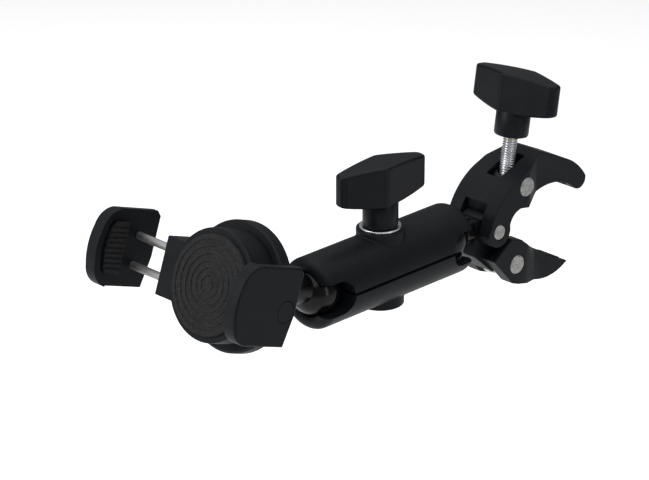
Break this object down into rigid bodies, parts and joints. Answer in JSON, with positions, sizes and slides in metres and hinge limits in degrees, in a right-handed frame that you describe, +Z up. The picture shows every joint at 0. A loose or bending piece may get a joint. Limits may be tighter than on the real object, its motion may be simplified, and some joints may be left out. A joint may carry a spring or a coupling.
{
  "type": "clamp-on phone holder",
  "caption": "Clamp-on phone holder: a hinged screw claw for drum hardware tube, a double ball arm locked by a T knob, and a sprung cradle with curved side jaws.",
  "frame": {"origin": "middle of the clamp's grip, on the axis of the tube that it holds", "axes": "+X from the cradle to the clamp, +Y along the tube, +Z up the clamp"},
  "size_m": [0.2185, 0.0815, 0.0904],
  "materials": {
    "body_plastic": "black moulded plastic, finely grained satin",
    "knob_plastic": "black moulded plastic, matt",
    "ball_plastic": "black moulded plastic, polished by its socket",
    "rubber": "dark grey rubber, dull",
    "zinc_steel": "zinc-plated steel",
    "bright_steel": "bright turned steel",
    "spring_steel": "drawn spring wire",
    "brass": "turned brass"
  },
  "bodies": {
    "clamp_base": {"lower_jaw": "body_plastic", "lower_jaw_pad": "rubber", "hinge_pin": "bright_steel"},
    "upper_claw": {"upper_jaw": "body_plastic", "upper_jaw_pad": "rubber"},
    "upper_bar": {"upper_barrel": "bright_steel"},
    "lower_bar": {"lower_barrel": "bright_steel"},
    "screw_knob": {"clamp_screw": "zinc_steel", "screw_nut": "zinc_steel", "clamp_knob": "knob_plastic", "clamp_knob_insert": "brass"},
    "clamp_stud": {"clamp_ball": "ball_plastic"},
    "arm": {"arm_upper_shell": "body_plastic", "arm_washer": "zinc_steel", "arm_spring": "spring_steel"},
    "arm_half": {"arm_lower_shell": "body_plastic", "arm_bolt": "zinc_steel"},
    "arm_tightener": {"arm_knob": "knob_plastic", "arm_knob_insert": "brass"},
    "cradle_stud": {"cradle_ball": "ball_plastic"},
    "cradle": {"ball_base": "body_plastic", "base_screws": "zinc_steel", "cradle_body": "body_plastic", "cradle_cover": "body_plastic", "front_pad": "rubber", "fixed_jaw": "body_plastic", "fixed_jaw_pad": "rubber", "fixed_jaw_cap": "body_plastic", "jaw_screw": "zinc_steel", "upper_return_spring": "spring_steel", "lower_return_spring": "spring_steel"},
    "slider": {"sliding_jaw": "body_plastic", "sliding_jaw_pad": "rubber", "sliding_jaw_cap": "body_plastic", "upper_guide_rod": "bright_steel", "lower_guide_rod": "bright_steel"}
  },
  "joints": [
    {"name": "lower_bar_pivot", "type": "hinge", "parent": "clamp_base", "child": "lower_bar", "pos_m": [-0.0232, 0, -0.0101], "axis": [0, 1, 0], "range_deg": [-5, 13]},
    {"name": "clamp_knob_turn", "type": "hinge", "parent": "lower_bar", "child": "screw_knob", "pos_m": [-0.0232, 0, -0.0101], "axis": [0.1509, 0, 0.9885], "range_deg": [-792, 2268]},
    {"name": "jaw_hinge", "type": "hinge", "parent": "clamp_base", "child": "upper_claw", "pos_m": [-0.034, 0, 0.007], "axis": [0, 1, 0], "range_deg": [-9, 24.1]},
    {"name": "upper_bar_pivot", "type": "hinge", "parent": "upper_claw", "child": "upper_bar", "pos_m": [-0.0183, 0, 0.022], "axis": [0, 1, 0], "range_deg": [-12, 5]},
    {"name": "ball_roll", "type": "hinge", "parent": "clamp_base", "child": "clamp_stud", "pos_m": [-0.0545, 0, 0.007], "axis": [1, 0, 0], "continuous": true},
    {"name": "arm_swing", "type": "hinge", "parent": "clamp_stud", "child": "arm", "pos_m": [-0.0545, 0, 0.007], "axis": [0, 0, 1], "range_deg": [-40, 40]},
    {"name": "arm_knob_turn", "type": "hinge", "parent": "arm", "child": "arm_tightener", "pos_m": [-0.09, 0, 0.007], "axis": [0, 0, 1], "range_deg": [-144.5, 288.5]},
    {"name": "arm_open", "type": "slide", "parent": "arm", "child": "arm_half", "axis": [0, 0, -1], "range_m": [-0.0005, 0.001], "deforming": ["arm_spring"]},
    {"name": "cradle_tilt", "type": "hinge", "parent": "arm", "child": "cradle_stud", "pos_m": [-0.1255, 0, 0.007], "axis": [0, 1, 0], "range_deg": [-40, 5]},
    {"name": "cradle_roll", "type": "hinge", "parent": "cradle_stud", "child": "cradle", "pos_m": [-0.1255, 0, 0.007], "axis": [0.9444, 0, -0.3289], "continuous": true},
    {"name": "jaw_slide", "type": "slide", "parent": "cradle", "child": "slider", "axis": [0, 1, 0], "range_m": [-0.0195, 0.018], "deforming": ["upper_return_spring", "lower_return_spring"]}
  ],
  "couplings": [
    {"joint": "jaw_hinge", "follows": "clamp_knob_turn", "ratio": 0.01058},
    {"joint": "lower_bar_pivot", "follows": "clamp_knob_turn", "ratio": 0.0056286},
    {"joint": "upper_bar_pivot", "follows": "clamp_knob_turn", "ratio": -0.0049514},
    {"joint": "arm_knob_turn", "follows": "arm_open", "rad_per_m": 5026.5}
  ]
}
